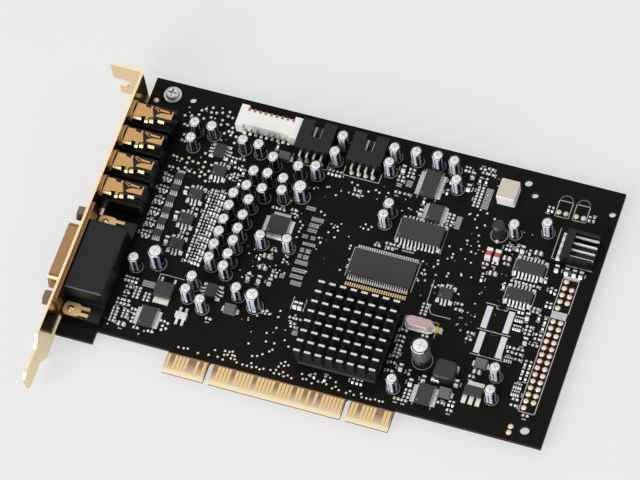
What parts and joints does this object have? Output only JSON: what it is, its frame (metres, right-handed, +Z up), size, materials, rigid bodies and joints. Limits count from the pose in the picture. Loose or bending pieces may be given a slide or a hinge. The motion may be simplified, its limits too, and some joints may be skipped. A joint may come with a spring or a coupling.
{
  "type": "pci sound card",
  "caption": "Black expansion sound card with a gold folded bracket, audio jacks, a D connector, a pin-fin heat sink, rows of can capacitors and a keyed gold edge connector",
  "frame": {"origin": "under the middle of the card's bounding box, at the level of the bracket's lower edge", "axes": "+X from the bracket to the far end of the board, +Y from the edge connector to the upper edge, +Z up from the parts side"},
  "size_m": [0.1824, 0.126, 0.0184],
  "materials": {
    "masked_board": "black solder mask over glass-fibre laminate",
    "gold_plate": "thin bright gold plate over steel or copper alloy",
    "tinned_metal": "solder-tinned",
    "zinc_steel": "zinc-plated steel",
    "black_nylon": "moulded black nylon",
    "white_nylon": "moulded white nylon",
    "chip_epoxy": "moulded black epoxy",
    "dark_jackscrew": "blackened steel",
    "sink_aluminium": "black anodised aluminium with bare fin tops",
    "thermal_sheet": "grey thermal sheet",
    "can_aluminium": "bare drawn aluminium",
    "shrunk_sleeve": "dark shrunk film",
    "crystal_can": "nickel-plated can",
    "film_box": "cream plastic box",
    "ferrite": "dark ferrite",
    "red_ferrite": "red-brown chip bead",
    "diode_epoxy": "grey epoxy",
    "resistor_ceramic": "glazed black chip on white ceramic",
    "capacitor_ceramic": "tan fired ceramic",
    "tantalum_resin": "yellow moulded resin"
  },
  "bodies": {
    "root": {"amplifier_chip_leads": "tinned_metal", "amplifier_chips": "chip_epoxy", "audio_header_1_housing": "black_nylon", "audio_header_2_housing": "black_nylon", "audio_header_pins": "tinned_metal", "audio_processor": "chip_epoxy", "board_locks": "gold_plate", "bracket": "gold_plate", "bracket_screw": "zinc_steel", "capacitor_cans": "can_aluminium", "capacitor_sleeves": "shrunk_sleeve", "chip_capacitors": "capacitor_ceramic", "chip_resistors": "resistor_ceramic", "circuit_board": "masked_board", "codec_chip": "chip_epoxy", "codec_chip_leads": "tinned_metal", "connector_contacts": "gold_plate", "connector_housing": "black_nylon", "connector_insulator": "black_nylon", "connector_jackscrews": "dark_jackscrew", "connector_shell": "zinc_steel", "converter_chip_leads": "tinned_metal", "converter_chips": "chip_epoxy", "crystal": "crystal_can", "digital_header_housing": "black_nylon", "digital_header_pins": "tinned_metal", "diodes": "diode_epoxy", "drum_inductor": "ferrite", "edge_contacts": "gold_plate", "ferrite_beads": "red_ferrite", "film_capacitor": "film_box", "heat_sink": "sink_aluminium", "jack_1_contacts": "gold_plate", "jack_1_ferrule": "gold_plate", "jack_1_housing": "black_nylon", "jack_2_contacts": "gold_plate", "jack_2_ferrule": "gold_plate", "jack_2_housing": "black_nylon", "jack_3_contacts": "gold_plate", "jack_3_ferrule": "gold_plate", "jack_3_housing": "black_nylon", "jack_4_contacts": "gold_plate", "jack_4_ferrule": "gold_plate", "jack_4_housing": "black_nylon", "line_filter": "tinned_metal", "logic_chip_leads": "tinned_metal", "logic_chips": "chip_epoxy", "memory_chip": "chip_epoxy", "memory_chip_leads": "tinned_metal", "muting_transistor_leads": "tinned_metal", "muting_transistors": "chip_epoxy", "power_inductor": "ferrite", "regulator_tabs": "tinned_metal", "regulators": "chip_epoxy", "resistor_arrays": "resistor_ceramic", "solder_tails": "tinned_metal", "tantalum_capacitor": "tantalum_resin", "thermal_pad": "thermal_sheet", "wire_header_housing": "white_nylon", "wire_header_pins": "tinned_metal"}
  },
  "joints": []
}
